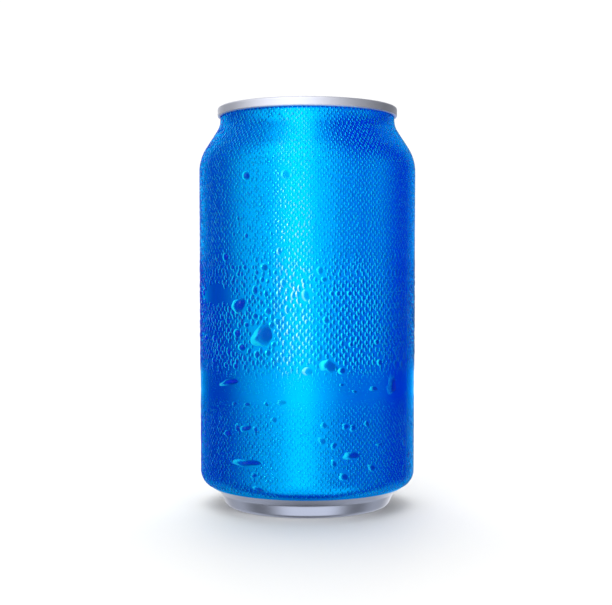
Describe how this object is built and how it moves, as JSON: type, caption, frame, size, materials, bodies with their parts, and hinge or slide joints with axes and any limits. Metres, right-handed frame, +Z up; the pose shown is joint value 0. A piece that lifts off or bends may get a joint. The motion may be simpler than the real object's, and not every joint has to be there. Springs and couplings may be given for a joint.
{
  "type": "soda can",
  "caption": "Shut aluminium drink can with a blue lacquered body, necked shoulder, seamed bare end with stay-on tab, and domed base.",
  "frame": {"origin": "middle of the circle that the can stands on", "axes": "+Z up along the can's axis; -Y is the side of the pour opening"},
  "size_m": [0.0662, 0.0662, 0.1222],
  "materials": {
    "blue_lacquer": "glossy clear blue lacquer over drawn aluminium",
    "end_aluminium": "rolled sheet, bright",
    "tab_aluminium": "stamped sheet, bright",
    "water_beads": "clear condensation, smooth"
  },
  "bodies": {
    "root": {"can_body": "blue_lacquer", "lid": "end_aluminium", "tab": "tab_aluminium"}
  },
  "joints": []
}
